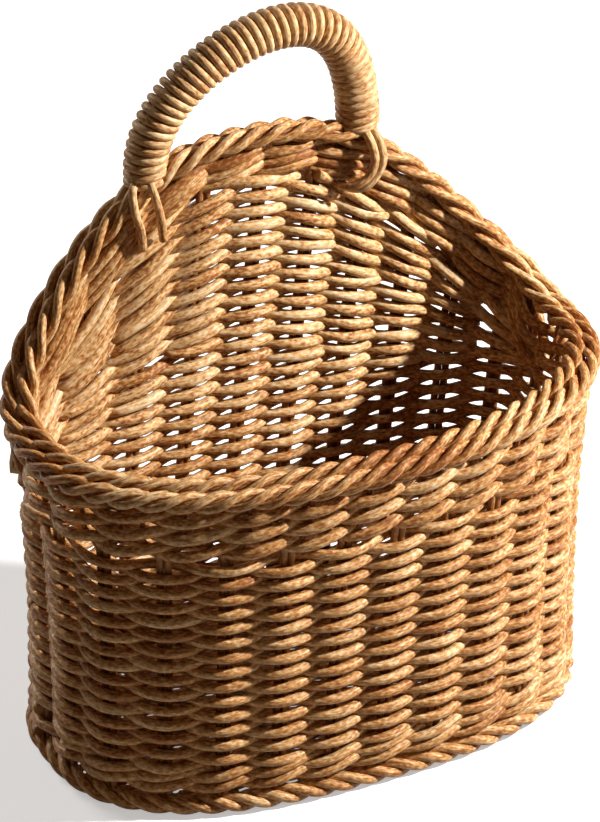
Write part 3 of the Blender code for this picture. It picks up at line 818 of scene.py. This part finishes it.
left_ties = [
    tie_path([(-0.0450, 0.0465, 0.2200), (-0.0505, 0.0415, 0.2175), (-0.0512, 0.0378, 0.2100),
              (-0.0490, 0.0378, 0.2020), (-0.0476, 0.0392, 0.1925)]),
    tie_path([(-0.0440, 0.0450, 0.2240), (-0.0432, 0.0385, 0.2160), (-0.0412, 0.0370, 0.2060),
              (-0.0395, 0.0385, 0.1950)]),
]
right_ties = [
    tie_path([(0.0440 + shift, 0.0450, 0.2230), (0.0462 + shift, 0.0385, 0.2175),
              (0.0472 + shift, 0.0360, 0.2105), (0.0455 + shift, 0.0360, 0.2040),
              (0.0405 + shift, 0.0370, 0.2000 - shift / 2), (0.0365 + shift, 0.0405, 0.1985 - shift / 2),
              (0.0345 + shift, 0.0465, 0.1985 - shift / 2), (0.0340 + shift, 0.0510, 0.2000 - shift / 2)])
    for shift in (0.0, TIE_GAP)]
for name, ties in (("left", left_ties), ("right", right_ties)):
    tie = cane_piece("handle_tie_%s" % name, ties, TIE_RADIUS, handle_cane)
    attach(tie, "root")
    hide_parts("handle_lashing_%s" % name)


# Floor: a plain, matt table top. To the eye it is pale and takes the basket's shadow,
# and on the cane it throws back only a little warm light.
FLOOR_SIZE = 9
FLOOR_DROP = 0.0002
FLOOR_PALE = (0.90, 0.90, 0.90, 1.0)
FLOOR_THROWN = (0.22, 0.19, 0.16, 1.0)
FLOOR_GLOW = 0.45


def floor_finish():
    """Pale with a faint glow to the eye, and darker for the light that it throws back."""
    finish = bpy.data.materials.new("pale_floor")
    finish.use_nodes = True
    tree = finish.node_tree
    shader = tree.nodes["Principled BSDF"]
    shader.inputs["Roughness"].default_value = 0.9
    shader.inputs["Specular IOR Level"].default_value = 0.1
    rays = tree.nodes.new("ShaderNodeLightPath")
    shown = tree.nodes.new("ShaderNodeMath")
    shown.operation = "MAXIMUM"
    joined(tree, rays.outputs["Is Camera Ray"], shown.inputs[0])
    joined(tree, rays.outputs["Is Glossy Ray"], shown.inputs[1])
    tint = tree.nodes.new("ShaderNodeMix")
    tint.data_type = "RGBA"
    tint.inputs["A"].default_value = FLOOR_THROWN
    tint.inputs["B"].default_value = FLOOR_PALE
    joined(tree, shown.outputs[0], tint.inputs["Factor"])
    joined(tree, tint.outputs["Result"], shader.inputs["Base Color"])
    glow = tree.nodes.new("ShaderNodeMath")
    glow.operation = "MULTIPLY"
    glow.inputs[1].default_value = FLOOR_GLOW
    joined(tree, shown.outputs[0], glow.inputs[0])
    shader.inputs["Emission Color"].default_value = (1.0, 1.0, 1.0, 1.0)
    joined(tree, glow.outputs[0], shader.inputs["Emission Strength"])
    return finish


floor_mesh = bpy.data.meshes.new("floor")
floor_corners = [(-FLOOR_SIZE, -FLOOR_SIZE, 0), (FLOOR_SIZE, -FLOOR_SIZE, 0),
                 (FLOOR_SIZE, FLOOR_SIZE, 0), (-FLOOR_SIZE, FLOOR_SIZE, 0)]
floor_mesh.from_pydata(floor_corners, [], [(0, 1, 2, 3)])
floor_mesh.materials.append(floor_finish())
floor = bpy.data.objects.new("floor", floor_mesh)
floor.location.z = -FLOOR_DROP
bpy.context.scene.collection.objects.link(floor)


# Light: one small lamp near by on the right in front, which gives the round canes their
# shading and the bowl its sharp shadow, and weak warm light from all round.
LAMP_POWER = 82.0
LAMP_SIZE = 0.03
LAMP_TURN = math.radians(61.0)
LAMP_HEIGHT = math.radians(30.0)
LAMP_REACH = 1.00
LAMP_AIM = Vector((0.0, 0.047, 0.15)) + Vector(middle)
lamp_data = bpy.data.lights.new("key_lamp", "POINT")
lamp_data.energy = LAMP_POWER
lamp_data.shadow_soft_size = LAMP_SIZE
lamp = bpy.data.objects.new("key_lamp", lamp_data)
toward = Vector((math.sin(LAMP_TURN) * math.cos(LAMP_HEIGHT),
                 -math.cos(LAMP_TURN) * math.cos(LAMP_HEIGHT), math.sin(LAMP_HEIGHT)))
lamp.location = LAMP_AIM + toward * LAMP_REACH
lamp.visible_camera = False
bpy.context.scene.collection.objects.link(lamp)

# A weak, wide lamp behind keeps the outside of the back from going dark.
BACK_LAMP_STRENGTH = 1.2
BACK_LAMP_WIDTH = math.radians(25.0)
BACK_LAMP_FROM = Vector((-0.25, 0.85, 0.45))
back_data = bpy.data.lights.new("back_lamp", "SUN")
back_data.energy = BACK_LAMP_STRENGTH
back_data.angle = BACK_LAMP_WIDTH
back_lamp = bpy.data.objects.new("back_lamp", back_data)
back_lamp.rotation_mode = "QUATERNION"
back_lamp.rotation_quaternion = BACK_LAMP_FROM.to_track_quat("Z", "Y")
bpy.context.scene.collection.objects.link(back_lamp)

# The room: white to the eye, and a weak warm fill for the cane.
ROOM_FILL = 0.085
ROOM_WARM = (1.0, 0.78, 0.56, 1.0)
world = bpy.data.worlds.new("room")
bpy.context.scene.world = world
world.use_nodes = True
tree = world.node_tree
sky = tree.nodes["Background"]
rays = tree.nodes.new("ShaderNodeLightPath")
seen = tree.nodes.new("ShaderNodeMath")
seen.operation = "MAXIMUM"
joined(tree, rays.outputs["Is Camera Ray"], seen.inputs[0])
joined(tree, rays.outputs["Is Transmission Ray"], seen.inputs[1])
strength = tree.nodes.new("ShaderNodeMapRange")
strength.inputs["To Min"].default_value = ROOM_FILL
strength.inputs["To Max"].default_value = 1.0
joined(tree, seen.outputs[0], strength.inputs["Value"])
warm = tree.nodes.new("ShaderNodeMix")
warm.data_type = "RGBA"
warm.inputs["A"].default_value = ROOM_WARM
warm.inputs["B"].default_value = (1.0, 1.0, 1.0, 1.0)
joined(tree, seen.outputs[0], warm.inputs["Factor"])
joined(tree, warm.outputs["Result"], sky.inputs["Color"])
joined(tree, strength.outputs["Result"], sky.inputs["Strength"])


# Camera: in front and a little to the left, looking down on the basket through a long
# lens, from where the photograph was taken.
VIEW_TURN = -0.4389
VIEW_HEIGHT = 0.5568
VIEW_DISTANCE = 2.6322
VIEW_LENS = 305.35
VIEW_SENSOR = 36.0
PICTURE_HEIGHT = 822
PICTURE_RIGHT = 2.50
PICTURE_DOWN = 1.71
VIEW_AIM_HEIGHT = 0.13
VIEW_NEAR = 0.05
VIEW_FAR = 50.0
aim = Vector((0.0, 0.0, VIEW_AIM_HEIGHT)) + Vector(middle)
away = Vector((math.sin(VIEW_TURN) * math.cos(VIEW_HEIGHT),
               -math.cos(VIEW_TURN) * math.cos(VIEW_HEIGHT), math.sin(VIEW_HEIGHT)))
view = bpy.data.cameras.new("camera")
view.lens = VIEW_LENS
view.sensor_width = VIEW_SENSOR
view.shift_x = -PICTURE_RIGHT / PICTURE_HEIGHT
view.shift_y = PICTURE_DOWN / PICTURE_HEIGHT
view.clip_start = VIEW_NEAR
view.clip_end = VIEW_FAR
camera = bpy.data.objects.new("camera", view)
camera.location = aim + away * VIEW_DISTANCE
camera.rotation_mode = "QUATERNION"
camera.rotation_quaternion = away.to_track_quat("Z", "Y")
bpy.context.scene.collection.objects.link(camera)
bpy.context.scene.camera = camera
bpy.context.scene.view_settings.view_transform = "Standard"
